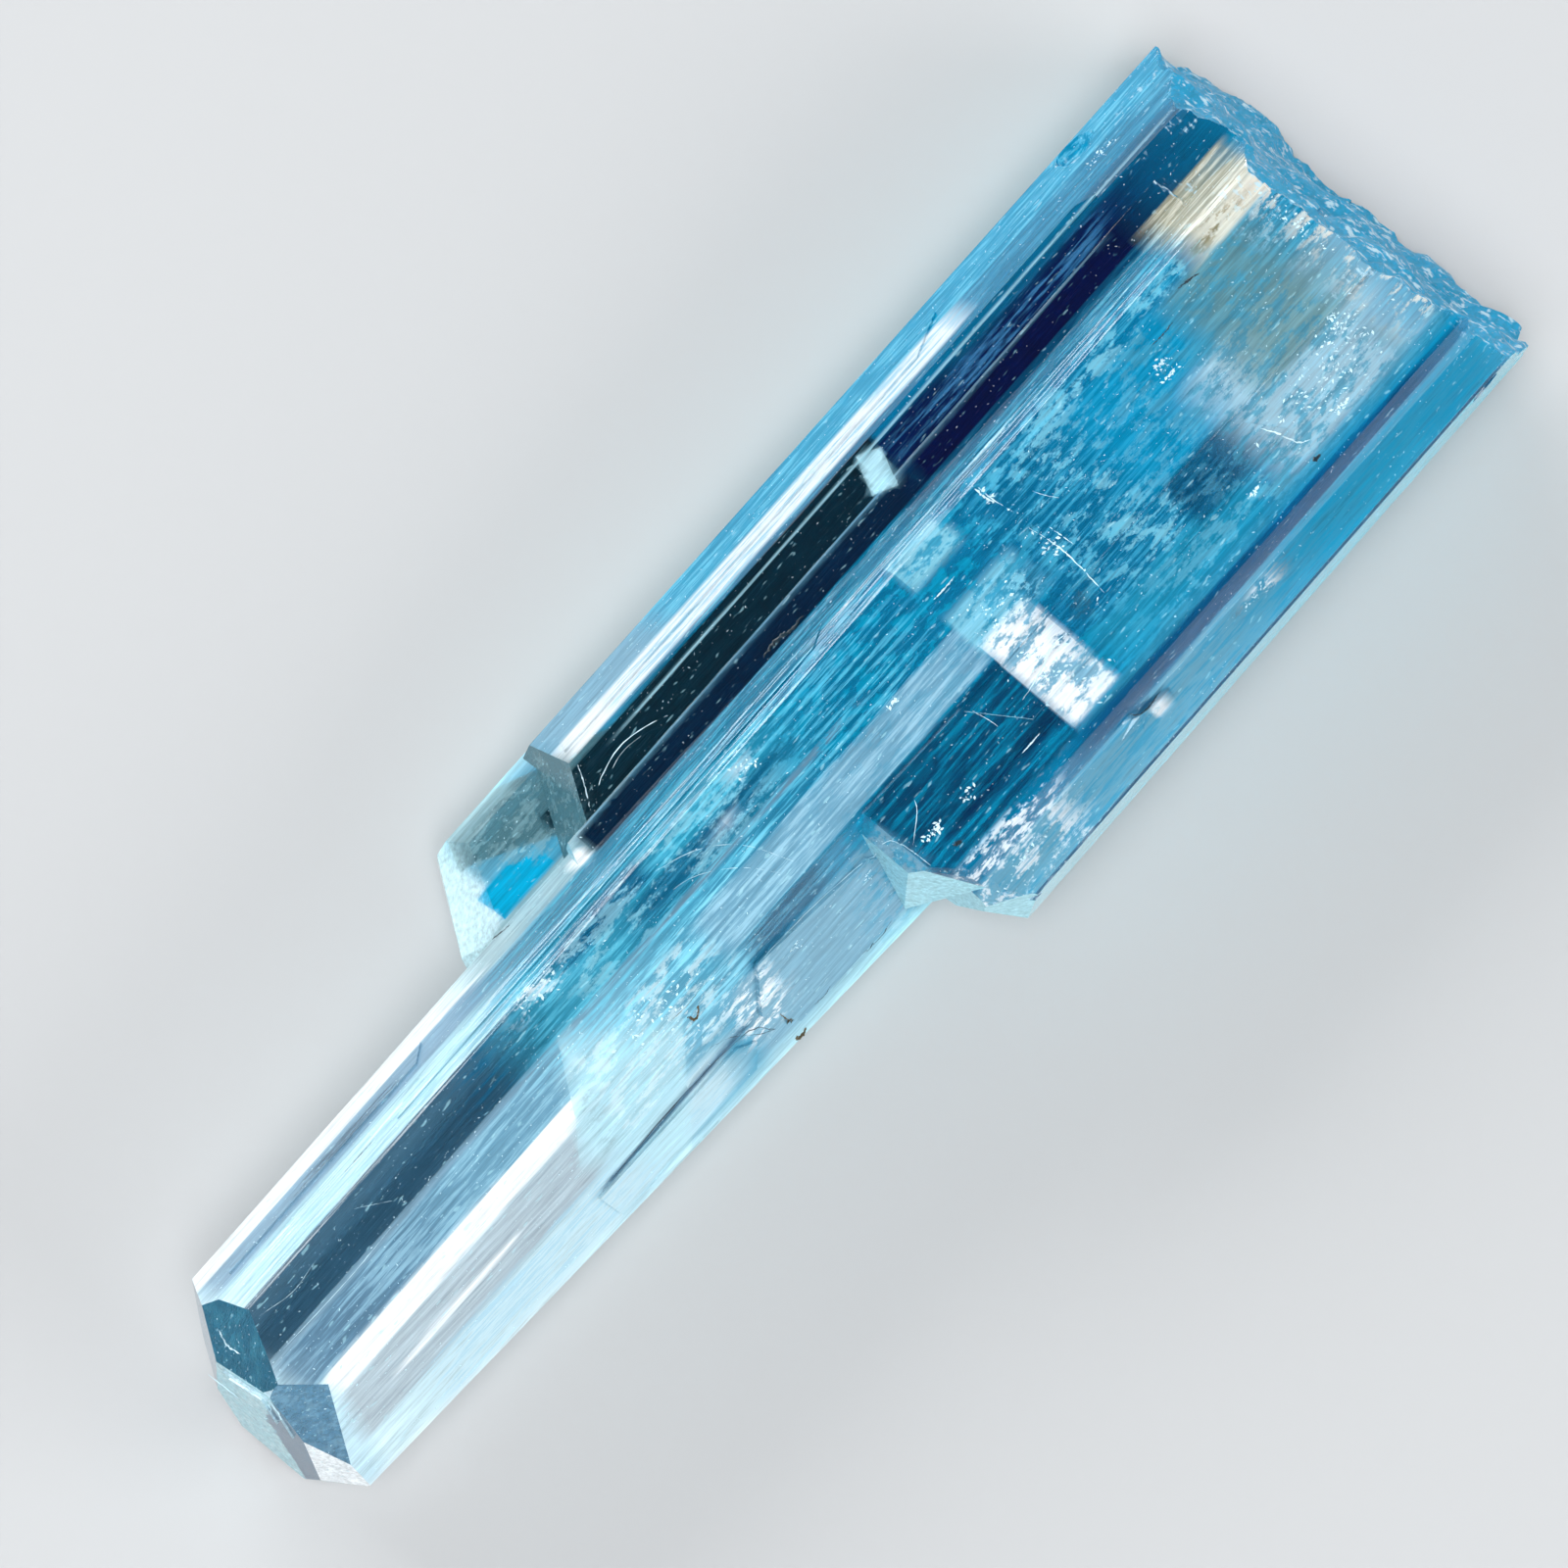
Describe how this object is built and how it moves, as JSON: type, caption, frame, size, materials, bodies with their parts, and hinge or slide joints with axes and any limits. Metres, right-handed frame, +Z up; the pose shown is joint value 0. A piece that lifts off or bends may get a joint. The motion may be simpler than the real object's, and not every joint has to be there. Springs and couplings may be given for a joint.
{
  "type": "aquamarine crystal",
  "caption": "Clear sea-blue beryl crystal: parallel hexagonal prisms grown together, with a facetted tip at one end and a rough fracture at the other, lying on its flat back face.",
  "frame": {"origin": "centre of the bounding box at the flat back face that the crystal lies on", "axes": "+X along the crystal axis towards the fractured end, with the facetted tip at -X; +Y towards the left prism, which has the long slanting end facet; +Z up, out of the broad front faces"},
  "size_m": [0.071, 0.02, 0.0098],
  "materials": {
    "beryl": "clear vitreous crystal, pale at the tip and deeper blue towards the fracture, with striated prism faces and frosted broken end"
  },
  "bodies": {
    "root": {"aquamarine_crystal": "beryl"}
  },
  "joints": []
}
